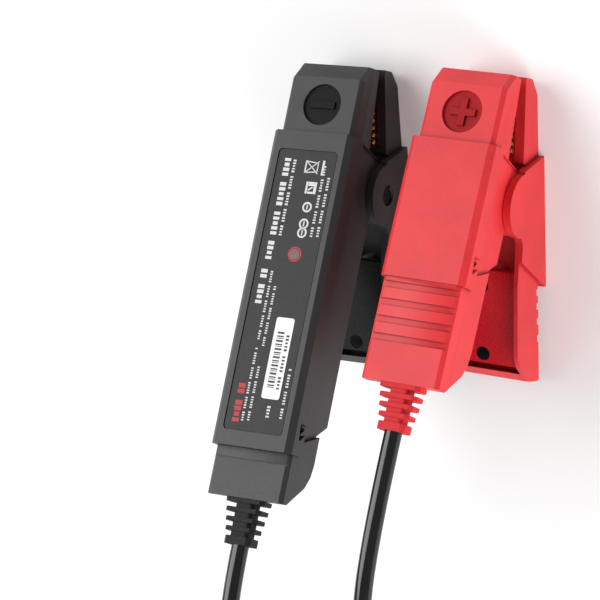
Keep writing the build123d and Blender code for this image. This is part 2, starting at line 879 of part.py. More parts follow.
def cable():
    """One cable from the black boot over to the floor, round and up into the red boot."""
    between = [
        (0, -144, 116),
        (-2, -168, 103),
        (-4, -185, 78),
        (-5, -199, 50),
        (-6, -214, 25),
        (-8, -236, 7.5),
        (-2, -259, 3.2),
        (17, -274, 3.2),
        (42, -274, 3.2),
        (61, -258, 3.2),
        (66, -236, 7),
        (63, -215, 23),
        (59, -200, 47),
        (55, -187, 73),
        (51, -167, 95),
        (47, -141, 106),
        (45.5, -111, 106),
    ]
    points = [
        cable_point(black, 0),
        cable_point(black, 25),
        *[Vector(*p) for p in between],
        cable_point(red, 28),
        cable_point(red, 0),
    ]
    radii = []
    for before, corner, after in zip(points, points[1:], points[2:]):
        turn = (corner - before).get_angle(after - corner)
        shorter = min((corner - before).length, (after - corner).length)
        radii.append(0.45 * shorter / tan(radians(turn) / 2))
    with BuildPart() as tube:
        with BuildLine() as route:
            FilletPolyline(*points, radius=radii)
        path = route.wires()[0]
        with BuildSketch(Plane(origin=path @ 0, z_dir=path % 0)):
            Circle(cable_diameter / 2)
        sweep(path=path)
    finish(tube, "cable", Location())
    section = pi * cable_diameter**2 / 4
    print("cable arc radii:", [round(radius, 1) for radius in radii])
    print(f"cable length {path.length:.1f} mm")
    print(f"cable volume {tube.part.volume:.0f}, section times length {section * path.length:.0f} mm3")


# ---------------------------------------------------------------- electronics in the black clamp
def electronics():
    with BuildPart() as board:
        with BuildSketch(Plane.XY.offset(board_back)):
            with Locations((0, (board_top + board_end) / 2)):
                Rectangle(2 * board_half, board_top - board_end)
        extrude(amount=board_thickness)
    finish_front(board, black, "circuit_board")
    top = board_back + board_thickness
    block("radio_module", (0.0, -57.5), (13.0, 18.0), 2.4, top)
    block("controller_chip", (0.0, -43.2), (7.0, 7.0), 1.2, top)
    block("status_led", (lens_x, lens_y), (3.2, 2.4), 1.1, top)
    with BuildPart() as capacitors:
        with BuildSketch(Plane.XY.offset(top)):
            with Locations((-5.4, -27.4), (-5.4, -35.4)):
                Circle(3.1)
        extrude(amount=5.2)
    finish_front(capacitors, black, "capacitors")
    block("load_resistor", (0.0, -48.0), (12.0, 6.4), -3.4, board_back)
    with BuildPart() as lens:
        with BuildSketch(Plane.XY.offset(top + 1.1)):
            with Locations((lens_x, lens_y)):
                Circle(lens_radius - insert_gap)
        extrude(amount=cover_front - label_recess + label_thickness - top - 1.1)
    finish_front(lens, black, "light_guide")
    with BuildPart() as label:
        with BuildSketch(Plane.XY.offset(cover_front - label_recess)):
            with Locations((0, (label_top + label_end) / 2)):
                RectangleRounded(
                    2 * (label_half - label_gap),
                    label_top - label_end - 2 * label_gap,
                    label_corner - label_gap,
                )
            with Locations((lens_x, lens_y)):
                Circle(lens_radius, mode=Mode.SUBTRACT)
        extrude(amount=label_thickness)
    finish_front(label, black, "label")


def block(name, spot, size, height, level):
    """A component on the circuit board; a negative height hangs it under the board."""
    with BuildPart() as component:
        with BuildSketch(Plane.XY.offset(level)):
            with Locations(spot):
                Rectangle(*size)
        extrude(amount=height)
    finish_front(component, black, name)


def wire(clamp, name, points):
    """Insulated wire through the given points of the front half."""
    with BuildPart() as lead:
        with BuildLine() as route:
            FilletPolyline(*points, radius=2.0)
        path = route.wires()[0]
        with BuildSketch(Plane(origin=path @ 0, z_dir=path % 0)):
            Circle(wire_radius)
        sweep(path=path)
    finish_front(lead, clamp, name)


def wires():
    """The wires end on the fixed contacts' inner bolts, the board and the boots."""
    terminal_y = jaw_root + contact_middle() - contact_bolt_spread
    terminal_z = split_height - 1.2
    level = board_back + board_thickness + wire_radius
    boot = neck_start(black) + relief_flange + wire_end_gap
    wire(
        black,
        "sense_wire",
        [(3.0, board_top - 2.0, level), (3.0, -6.0, level), (0.0, terminal_y, terminal_z)],
    )
    wire(
        black,
        "supply_wire",
        [(2.0, boot, relief_axis(black)), (2.0, -80.0, level + 1.0), (4.0, board_end + 0.8, level)],
    )
    boot = neck_start(red) + relief_flange + wire_end_gap
    wire(
        red,
        "jaw_wire",
        [(2.0, boot, relief_axis(red)), (5.0, -44.0, 23.0), (2.0, -6.0, 21.5), (0.0, terminal_y, terminal_z)],
    )


# ---------------------------------------------------------------- the whole tester
for clamp in (black, red):
    base_shell(clamp)
    front_cover(clamp)
    polarity_disc(clamp)
    shell_screws(clamp)
    fixed_contact(clamp)
    lever(clamp)
    lever_contact(clamp)
    lever_liner(clamp)
    pivot(clamp)
    torsion_spring(clamp)
    strain_relief(clamp)
electronics()
wires()
cable()
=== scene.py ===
"""
Battery tester: a long black clamp and a shorter red one, joined by a cable.

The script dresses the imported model. It rounds the moulded edges, prints the label, lays the
cable, and gives every piece the material it is made of. Lengths are in metres.
"""

import json
import math

import bmesh
import bpy
from bpy.props import FloatProperty, FloatVectorProperty, StringProperty
from mathutils import Matrix, Quaternion, Vector


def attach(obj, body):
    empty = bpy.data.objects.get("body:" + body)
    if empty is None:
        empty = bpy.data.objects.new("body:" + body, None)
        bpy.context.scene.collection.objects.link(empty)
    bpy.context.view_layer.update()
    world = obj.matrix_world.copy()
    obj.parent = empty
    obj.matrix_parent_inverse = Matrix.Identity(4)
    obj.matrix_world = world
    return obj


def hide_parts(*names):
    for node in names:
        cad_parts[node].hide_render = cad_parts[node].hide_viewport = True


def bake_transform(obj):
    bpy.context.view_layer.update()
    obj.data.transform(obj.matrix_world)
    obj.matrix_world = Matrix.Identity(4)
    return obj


bl_info = {
    "name": "Battery Tester",
    "version": (1, 0, 0),
    "blender": (4, 5, 0),
    "location": "View3D > Sidebar > Tester",
    "description": "Builds the moulded shells, printed label, contacts and cable of a battery tester",
    "category": "Object",
}

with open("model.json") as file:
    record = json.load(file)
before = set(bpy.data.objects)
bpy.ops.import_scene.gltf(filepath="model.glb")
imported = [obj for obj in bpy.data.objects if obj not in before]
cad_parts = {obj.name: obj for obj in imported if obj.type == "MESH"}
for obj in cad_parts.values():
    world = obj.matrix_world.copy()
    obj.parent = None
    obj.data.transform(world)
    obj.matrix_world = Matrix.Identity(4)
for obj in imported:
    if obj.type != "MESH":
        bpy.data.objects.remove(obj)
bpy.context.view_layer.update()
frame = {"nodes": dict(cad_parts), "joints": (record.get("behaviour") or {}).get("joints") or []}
clamps = ("black", "red")
mm = 0.001
front_body = "front_halves"
front_tilt = math.radians(-31.3)    # the front halves' slope against the levers
middle_range = (0.3, 0.7)           # nearly all of a noise texture's values
floor_reach = 6.0                   # from the middle of the floor to its edges


# ---------------------------------------------------------------- settings
class TesterPlasticSettings(bpy.types.PropertyGroup):
    black_colour: StringProperty(
        name="Black", description="sRGB hex of the black ABS", default="#2B2B2C"
    )
    red_colour: StringProperty(
        name="Red", description="sRGB hex of the red ABS", default="#DE2A30"
    )
    edge_round: FloatProperty(
        name="Edge round",
        description="Radius that the mould leaves on outer edges",
        default=0.45 * mm,
        unit="LENGTH",
    )
    grain: FloatProperty(
        name="Grain",
        description="Size of the spark-eroded texture's grains",
        default=0.45 * mm,
        unit="LENGTH",
    )


class TesterLabelSettings(bpy.types.PropertyGroup):
    film_colour: StringProperty(name="Film", description="sRGB hex of the label film", default="#2A2A2B")
    ink_colour: StringProperty(name="Ink", description="sRGB hex of the white ink", default="#DADADA")
    ink_height: FloatProperty(
        name="Ink height",
        description="How far the print stands on the film",
        default=0.03 * mm,
        unit="LENGTH",
    )
    sticker_height: FloatProperty(
        name="Sticker height",
        description="Thickness of the paper sticker",
        default=0.09 * mm,
        unit="LENGTH",
    )


class TesterCableSettings(bpy.types.PropertyGroup):
    length: FloatProperty(
        name="Length", description="Real length of the cable", default=0.545, unit="LENGTH"
    )
    diameter: FloatProperty(
        name="Diameter", description="Outer diameter of the jacket", default=5.8 * mm, unit="LENGTH"
    )


class TesterStageSettings(bpy.types.PropertyGroup):
    aim: FloatVectorProperty(
        name="Aim",
        description="Point in the middle of the picture",
        default=(-0.0345, -0.0488, -0.0053),
        subtype="TRANSLATION",
        unit="LENGTH",
    )
    azimuth: FloatProperty(
        name="Azimuth", description="Camera's bearing", default=math.radians(122.83), subtype="ANGLE"
    )
    elevation: FloatProperty(
        name="Elevation", description="Camera's height", default=math.radians(53.94), subtype="ANGLE"
    )
    roll: FloatProperty(
        name="Roll", description="Camera's turn about its view", default=math.radians(-122.1), subtype="ANGLE"
    )
    distance: FloatProperty(name="Distance", description="Camera to aim", default=1.0, unit="LENGTH")
    lens: FloatProperty(name="Lens", description="Focal length in mm on a 36 mm sensor", default=170.1)
    floor_colour: StringProperty(name="Floor", description="sRGB hex of the floor", default="#E4E4E4")


# ---------------------------------------------------------------- places
def front_matrix(clamp):
    """A clamp's front half: origin at the pivot, +Y to the jaws, +Z out of its front."""
    return lever_matrix(clamp) @ Matrix.Rotation(front_tilt, 4, "X")


def lever_matrix(clamp):
    """A clamp's lever: origin at the pivot, +Y to the jaws, +Z from its back to its open side."""
    hinge = next(joint for joint in frame["joints"] if joint["name"] == f"{clamp}_lever_hinge")
    axis = -Vector(hinge["axis"])
    turn = math.atan2(axis.y, axis.x)
    return Matrix.Translation(hinge["pos_m"]) @ Matrix.Rotation(turn, 4, "Z")


# ---------------------------------------------------------------- materials
def linear(colour):
    """sRGB hex to linear red, green, blue and alpha."""
    channels = [int(colour[i : i + 2], 16) / 255 for i in (1, 3, 5)]
    return [c / 12.92 if c <= 0.04045 else ((c + 0.055) / 1.055) ** 2.4 for c in channels] + [1.0]


def shade(colour, factor):
    """A linear colour made darker or lighter."""
    return [min(1.0, channel * factor) for channel in colour[:3]] + [1.0]


def add_node(tree, kind, links=None, inputs=None, **settings):
    """
    Add a node: links feed its inputs from other sockets, inputs are plain values. A name that
    several sockets share, as on a Mix node, means the one that is in use.
    """
    node = tree.nodes.new(kind)
    for name, value in settings.items():
        setattr(node, name, value)
    sockets = {socket.name: socket for socket in node.inputs if socket.enabled}
    for name, value in (inputs or {}).items():
        sockets[name].default_value = value
    for name, source in (links or {}).items():
        tree.links.new(source, sockets[name])
    return node


def output_of(node):
    """A node's first output in use."""
    return next(socket for socket in node.outputs if socket.enabled)


def new_material(name, roughness, **inputs):
    """A material whose Principled shader has its plain values on its own sockets."""
    material = bpy.data.materials.new(name)
    material.use_nodes = True
    shader = material.node_tree.nodes["Principled BSDF"]
    shader.inputs["Roughness"].default_value = roughness
    for key, value in inputs.items():
        shader.inputs[key.replace("_", " ")].default_value = value
    return material, material.node_tree, shader


def vary_surface(
    tree,
    shader,
    size,
    colours=None,
    roughness=None,
    relief=None,
    detail=2.0,
    stretch=(1, 1, 1),
    blend=middle_range,
):
    """
    Vary a surface by one cloudy pattern whose features are size metres across. Where they are
    given, colours and roughness are what it goes between, relief is the depth and strength of its
    bumps, and blend is the part of the pattern's range over which the colours blend. Returns the
    pattern.
    """
    place = add_node(tree, "ShaderNodeTexCoord").outputs["Object"]
    mapping = add_node(tree, "ShaderNodeMapping", {"Vector": place}, {"Scale": stretch})
    noise = add_node(
        tree,
        "ShaderNodeTexNoise",
        {"Vector": output_of(mapping)},
        {"Scale": 1 / size, "Detail": detail},
    )
    pattern = output_of(noise)
    if colours:
        share = add_node(
            tree, "ShaderNodeMapRange", {"Value": pattern}, {"From Min": blend[0], "From Max": blend[1]}
        )
        tint = add_node(
            tree,
            "ShaderNodeMix",
            {"Factor": output_of(share)},
            {"A": colours[0], "B": colours[1]},
            data_type="RGBA",
        )
        tree.links.new(output_of(tint), shader.inputs["Base Color"])
    if roughness:
        dullness = add_node(
            tree,
            "ShaderNodeMapRange",
            {"Value": pattern},
            {
                "From Min": middle_range[0],
                "From Max": middle_range[1],
                "To Min": roughness[0],
                "To Max": roughness[1],
            },
        )
        tree.links.new(output_of(dullness), shader.inputs["Roughness"])
    if relief:
        bumps = add_node(
            tree, "ShaderNodeBump", {"Height": pattern}, {"Distance": relief[0], "Strength": relief[1]}
        )
        tree.links.new(output_of(bumps), shader.inputs["Normal"])
    return pattern


def speckle_and_painted_shade(tree, shader, pattern, reach=1.6 * mm, darkest=0.4):
    """
    Darken a moulding: a fine speckle of handling and dust that follows its grain, and painted
    shade in its grooves and inner corners, which ambient occlusion finds up to reach away.
    """
    speckle = add_node(
        tree,
        "ShaderNodeMapRange",
        {"Value": pattern},
        {"From Min": 0.35, "From Max": 0.6, "To Min": 0.86, "To Max": 1.0},
    )
    # painted shade: ambient occlusion darkens the colour in grooves and inner corners
    shelter = add_node(
        tree, "ShaderNodeAmbientOcclusion", None, {"Distance": reach}, samples=6, only_local=True
    )
    painted_crease_shade = add_node(
        tree,
        "ShaderNodeMapRange",
        {"Value": shelter.outputs["AO"]},
        {"From Min": 0.35, "From Max": 0.95, "To Min": darkest, "To Max": 1.0},
    )
    base = shader.inputs["Base Color"]
    for share in (speckle, painted_crease_shade):
        darker = add_node(
            tree,
            "ShaderNodeMix",
            {"A": base.links[0].from_socket, "B": output_of(share)},
            {"Factor": 1.0},
            data_type="RGBA",
            blend_type="MULTIPLY",
        )
        tree.links.new(output_of(darker), base)


def moulded_abs(name, colour, roughness=0.46, grain_depth=0.02 * mm, gloss=0.4):
    """
    ABS from a spark-eroded mould: a fine even grain that spreads reflections, and a faint
    cloudiness of the pigment. The grain is drawn at 0.45 mm, coarser than the real 0.1 mm,
    so that it shows.
    """
    material, tree, shader = new_material(name, roughness, IOR=1.53, Specular_IOR_Level=gloss)
    base = linear(colour)
    vary_surface(tree, shader, 18 * mm, colours=(shade(base, 0.9), shade(base, 1.1)), detail=3.0)
    grain = vary_surface(
        tree,
        shader,
        bpy.context.scene.tester_plastic.grain,
        roughness=(roughness - 0.05, roughness + 0.07),
        relief=(grain_depth, 0.6),
        detail=3.0,
    )
    # a speckle along the grain, and painted shade in the grooves and inner corners
    speckle_and_painted_shade(tree, shader, grain)
    return material


def moulded_tpe(name, colour):
    """Thermoplastic elastomer, moulded matt: soft, a little dusty, with no sharp reflections."""
    material, tree, shader = new_material(name, 0.62, IOR=1.5, Specular_IOR_Level=0.3)
    base = linear(colour)
    vary_surface(
        tree,
        shader,
        0.6 * mm,
        colours=(shade(base, 0.85), shade(base, 1.12)),
        roughness=(0.55, 0.7),
        relief=(0.02 * mm, 0.5),
    )
    return material


def extruded_pvc(name, colour, roughness=0.13):
    """Extruded PVC: glossy, with long shallow ripples left by the die."""
    material, tree, shader = new_material(name, roughness, IOR=1.54)
    base = linear(colour)
    vary_surface(
        tree,
        shader,
        9 * mm,
        colours=(shade(base, 0.8), shade(base, 1.3)),
        roughness=(roughness - 0.05, roughness + 0.08),
        relief=(0.05 * mm, 0.3),
    )
    return material


def stamped_metal(name, colour, tarnish, roughness=0.3):
    """Stamped sheet: rolling lines 0.3 mm apart along its length, and a patchy tarnish."""
    material, tree, shader = new_material(name, roughness, Metallic=1.0)
    vary_surface(
        tree, shader, 4 * mm, colours=(linear(tarnish), linear(colour)), detail=3.0, blend=(0.35, 0.6)
    )
    vary_surface(
        tree,
        shader,
        0.3 * mm,
        roughness=(roughness - 0.08, roughness + 0.12),
        relief=(0.01 * mm, 0.5),
        stretch=(1, 0.12, 0.3),
    )
    return material


def printed_film(name, colour):
    """Polyester label film with a fine matt coat, duller than the shell round it."""
    material, tree, shader = new_material(name, 0.5, IOR=1.6, Specular_IOR_Level=0.2)
    base = linear(colour)
    vary_surface(
        tree,
        shader,
        0.8 * mm,
        colours=(shade(base, 0.94), shade(base, 1.06)),
        roughness=(0.46, 0.56),
        relief=(0.005 * mm, 0.3),
    )
    return material


def screen_ink(name, colour):
    """Screen-printed ink: flat, with a slightly uneven coverage."""
    material, tree, shader = new_material(name, 0.5, IOR=1.5)
    base = linear(colour)
    vary_surface(tree, shader, 0.5 * mm, colours=(shade(base, 0.82), base), roughness=(0.45, 0.6))
    return material


def sticker_paper(name, thin="#E4E4E2", thick="#F4F4F3"):
    """Coated thermal paper: white, with faint fibres 1 mm wide and 3 mm long."""
    material, tree, shader = new_material(name, 0.55, IOR=1.5)
    vary_surface(
        tree,
        shader,
        1 * mm,
        colours=(linear(thin), linear(thick)),
        relief=(0.01 * mm, 0.3),
        detail=4.0,
        stretch=(1, 0.3, 1),
    )
    return material


def clear_lens(name, colour):
    """Tinted acrylic light guide: glossy and partly clear."""
    material, tree, shader = new_material(name, 0.25, IOR=1.49, Transmission_Weight=0.35)
    base = linear(colour)
    vary_surface(tree, shader, 2 * mm, colours=(shade(base, 0.8), shade(base, 1.15)))
    return material


def solder_mask(name):
    """
    Circuit board: green mask, paler over copper tracks, which are lines 0.5 mm wide on a grid of
    1.6 by 0.8 mm.
    """
    material, tree, shader = new_material(name, 0.35, IOR=1.52)
    place = add_node(tree, "ShaderNodeTexCoord").outputs["Object"]
    tracks = add_node(
        tree,
        "ShaderNodeTexBrick",
        {"Vector": place},
        {
            "Color1": linear("#1E7A3C"),
            "Color2": linear("#17683A"),
            "Mortar": linear("#3C9A55"),
            "Scale": 1 / (3.2 * mm),
            "Mortar Size": 0.08,
        },
    )
    bumps = add_node(
        tree,
        "ShaderNodeBump",
        {"Height": tracks.outputs["Fac"]},
        {"Distance": 0.03 * mm, "Strength": 0.5},
    )
    tree.links.new(tracks.outputs["Color"], shader.inputs["Base Color"])
    tree.links.new(output_of(bumps), shader.inputs["Normal"])
    return material


def fired_ceramic(name, speck="#A8A294", body="#DAD6CA"):
    """Fired ceramic body: chalky and pale, with dark specks 0.7 mm across."""
    material, tree, shader = new_material(name, 0.8, IOR=1.6)
    vary_surface(
        tree,
        shader,
        0.7 * mm,
        colours=(linear(speck), linear(body)),
        relief=(0.03 * mm, 0.5),
        blend=(0.3, 0.45),
    )
    return material


def lit_backdrop(name, colour):
    """Opal acrylic floor, lit a little from below, which keeps it pale and its shadows faint."""
    material, tree, shader = new_material(name, 0.8, Emission_Strength=0.2)
    base = linear(colour)
    shader.inputs["Emission Color"].default_value = base
    vary_surface(tree, shader, 300 * mm, colours=(shade(base, 0.99), base))
    return material


def make_materials():
    """All finishes, by the name that the pieces ask for."""
    plastic = bpy.context.scene.tester_plastic
    label = bpy.context.scene.tester_label
    insert = {"roughness": 0.6, "grain_depth": 0.01 * mm}
    polished = {"roughness": 0.24, "grain_depth": 0.004 * mm}
    return {
        "black_plastic": moulded_abs("Black moulded ABS", plastic.black_colour),
        "red_plastic": moulded_abs("Red moulded ABS", plastic.red_colour),
        "black_disc": moulded_abs("Black insert ABS", "#161617", **insert, gloss=0.12),
        "red_disc": moulded_abs("Deep red insert ABS", "#A8161F", **insert, gloss=0.15),
        "black_liner": moulded_abs("Black polished ABS", "#1A1A1B", **polished, gloss=0.4),
        "red_liner": moulded_abs("Red polished ABS", "#C41222", **polished, gloss=0.35),
        "black_rubber": moulded_tpe("Black moulded TPE", "#0D0D0E"),
        "red_rubber": moulded_tpe("Red moulded TPE", "#D0232B"),
        "cable_jacket": extruded_pvc("Black PVC jacket", "#040405"),
        "wire_insulation": extruded_pvc("Red PVC insulation", "#A81016", roughness=0.35),
        "label": printed_film("Label film", label.film_colour),
        "white_ink": screen_ink("White ink", label.ink_colour),
        "black_ink": screen_ink("Black ink", "#141414"),
        "red_ink": screen_ink("Red ink", "#B4141C"),
        "paper": sticker_paper("Sticker paper"),
        "led": clear_lens("Red acrylic", "#6A2024"),
        "copper": stamped_metal("Stamped copper", "#E09468", "#A85A38"),
        "black_steel": stamped_metal("Black-oxide steel", "#232325", "#141415", roughness=0.42),
        "steel": stamped_metal("Zinc-plated steel", "#B9BBBE", "#8E9092", roughness=0.35),
        "can": stamped_metal("Tinned steel can", "#CFD0D2", "#B0B2B4", roughness=0.28),
        "board": solder_mask("Green solder mask"),
        "chip": moulded_tpe("Moulded epoxy", "#161617"),
        "ceramic": fired_ceramic("Fired ceramic"),
    }


finishes = {}


def finish_for(name):
    """The finish of that name; all of them are made the first time one is asked for."""
    if not finishes:
        finishes.update(make_materials())
    return finishes[name]


# ---------------------------------------------------------------- shared mesh work
weld_distance = 0.002 * mm      # closer points of a CAD mesh are one point
flat_angle = math.radians(1)    # flatter edges aren't edges of the shape
long_edge = 9 * mm              # shorter edges belong to small pockets, which stay crisp
outer_angle = math.radians(25)  # edges that stick out by more than this are rounded
sharp_angle = math.radians(30)  # steeper edges are shaded sharp


def dress(node, slot):
    """Give a CAD node its finish and leave its mesh as it is."""
    piece = frame["nodes"][node]
    for place in piece.material_slots:
        place.material = finish_for(slot)


def new_piece(name, bm, body, slot, smooth=False):
    """Make an object of a mesh that is already in place, and let it ride on a body if it has one."""
    mesh = bpy.data.meshes.new(name)
    bmesh.ops.recalc_face_normals(bm, faces=bm.faces)
    bm.to_mesh(mesh)
    bm.free()
    for face in mesh.polygons:
        face.use_smooth = smooth
    mesh.materials.append(finish_for(slot))
    piece = bpy.data.objects.new(name, mesh)
    bpy.context.scene.collection.objects.link(piece)
    if body:
        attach(piece, body)
    return piece


def merged_copy(node):
    """A CAD node's mesh as a bmesh, with its triangles joined into whole flat faces."""
    bm = bmesh.new()
    bm.from_mesh(frame["nodes"][node].data)
    bmesh.ops.remove_doubles(bm, verts=bm.verts, dist=weld_distance)
    bmesh.ops.dissolve_limit(bm, angle_limit=flat_angle, verts=bm.verts, edges=bm.edges)
    return bm


def rounded_copy(node, body, slot, radius):
    """
    Stand a copy with rounded edges in for a moulded CAD piece. Only long outer edges are
    rounded, because a mould's inner corners and small pockets stay crisp.
    """
    bm = merged_copy(node)
    long_edges = [
        edge
        for edge in bm.edges
        if edge.calc_length() > long_edge and edge.calc_face_angle_signed(0) > outer_angle
    ]
    bmesh.ops.bevel(
        bm,
        geom=long_edges,
        offset=radius,
        offset_type="OFFSET",
        segments=3,
        profile=0.5,
        affect="EDGES",
        clamp_overlap=True,
        material=-1,
    )
    piece = new_piece(f"rounded_{node}", bm, body, slot, smooth=True)
    piece.data.set_sharp_from_angle(angle=sharp_angle)
    weighted = piece.modifiers.new("Flat faces stay flat", "WEIGHTED_NORMAL")
    weighted.keep_sharp = True
    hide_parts(node)
    return piece


def front_of(node, matrix):
    """How far a CAD node stands out along its clamp's own Z."""
    to_clamp = matrix.inverted()
    return max((to_clamp @ vertex.co).z for vertex in frame["nodes"][node].data.vertices)


# ---------------------------------------------------------------- pieces
class TESTER_OT_cable(bpy.types.Operator):
    """Lay the cable from the black boot, over and round on the floor, to the red boot"""

    bl_idname = "tester.cable"
    bl_label = "Cable"

    def execute(self, context):
        settings = context.scene.tester_cable
        route = [
            (0, -0.09412, 0.09976),
            (0, -0.11548, 0.11275),
            (0, -0.144, 0.116),
            (-0.002, -0.168, 0.103),
            (-0.004, -0.185, 0.078),
            (-0.005, -0.199, 0.050),
            (-0.006, -0.214, 0.025),
            (-0.008, -0.236, 0.0075),
            (-0.002, -0.259, 0.0032),
            (0.017, -0.274, 0.0032),
            (0.042, -0.274, 0.0032),
            (0.061, -0.258, 0.0032),
            (0.066, -0.236, 0.007),
            (0.063, -0.215, 0.023),
            (0.059, -0.200, 0.047),
            (0.055, -0.187, 0.073),
            (0.051, -0.167, 0.095),
            (0.047, -0.141, 0.106),
            (0.0455, -0.111, 0.106),
            (0.0472, -0.0799, 0.0943),
            (0.0481, -0.0560, 0.0798),
        ]
        curve = bpy.data.curves.new("cable_line", "CURVE")
        curve.dimensions = "3D"
        curve.bevel_depth = settings.diameter / 2
        curve.bevel_resolution = 8
        curve.resolution_u = 12
        curve.use_fill_caps = True
        spline = curve.splines.new("NURBS")
        spline.points.add(len(route) - 1)
        for point, place in zip(spline.points, route):
            point.co = (*place, 1)
        spline.order_u = 3
        spline.use_endpoint_u = True
        curve.materials.append(finish_for("cable_jacket"))
        piece = bpy.data.objects.new("cable_cord", curve)
        context.scene.collection.objects.link(piece)
        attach(piece, front_body)
        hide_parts("cable")
        return {"FINISHED"}


class TESTER_OT_shells(bpy.types.Operator):
    """Round the edges of both clamps' moulded shells and levers"""

    bl_idname = "tester.shells"
    bl_label = "Moulded shells"

    def execute(self, context):
        radius = context.scene.tester_plastic.edge_round
        for clamp in clamps:
            plastic = f"{clamp}_plastic"
            rounded_copy(f"{clamp}_base_shell", front_body, plastic, radius)
            rounded_copy(f"{clamp}_front_cover", front_body, plastic, radius)
            rounded_copy(f"{clamp}_lever", f"{clamp}_lever", plastic, radius)
            liner = rounded_copy(f"{clamp}_lever_liner", f"{clamp}_lever", plastic, radius / 2)
            liner.material_slots[0].material = finish_for(f"{clamp}_liner")
        dress("red_pivot_caps", "red_plastic")
        return {"FINISHED"}


class TESTER_OT_polarity(bpy.types.Operator):
    """Finish the round inserts with the minus and the plus"""

    bl_idname = "tester.polarity"
    bl_label = "Polarity inserts"

    def execute(self, context):
        for clamp in clamps:
            dress(f"{clamp}_polarity_disc", f"{clamp}_disc")
        return {"FINISHED"}


# The label's print, in mm on the front of the black clamp: x is across it and y along it, towards
# the jaws. A row has its middle's x, its height, its two ends' y, its number of marks and how full
# it is, and stands for a line of print.
white_rows = (
    (-7.1, 2.3, -31.5, 3.3, 21, 0.74),
    (-7.5, 2.4, -46.4, -34.3, 7, 0.76),
    (-4.4, 1.1, -23.2, 2.8, 28, 0.62),
    (-4.6, 0.9, -58.0, -34.0, 29, 0.6),
    (-4.6, 0.9, -85.0, -60.5, 30, 0.6),
    (-2.4, 0.9, -84.7, -66.5, 22, 0.6),
    (-2.4, 0.9, -60.0, -39.7, 25, 0.6),
    (7.1, 1.0, -22.7, 1.5, 27, 0.6),
    (9.4, 1.0, -22.5, -2.3, 22, 0.6),
    (4.3, 1.2, -83.0, -78.8, 4, 0.66),
    (9.3, 1.0, -82.8, -66.0, 18, 0.6),
)
red_row = (-7.1, 2.6, -85.7, -72.5, 7, 0.85)
sticker_row = (6.1, 1.1, -73.6, -55.2, 16, 0.62)
word_length = 6         # every sixth mark of a longer row is the space between two words
ring_sides = 40
lamp_middle = (2.4, -28.7)
lamp_inner, lamp_outer = 2.0, 2.5
bin_middle = (2.3, 0.6)
box_middle = (3.5, -6.3)
box_half = 2.0
round_x = 3.5
round_spots = (-12.8, -18.4, -21.4)
round_inner, round_outer = 1.15, 1.75
sticker_middle = (4.05, -63.25)
sticker_width, sticker_length = 6.7, 26.9
sticker_corner = 0.9
stripe_x, stripe_start = 3.35, -73.0
stripe_height = 2.5
stripe_count = 21


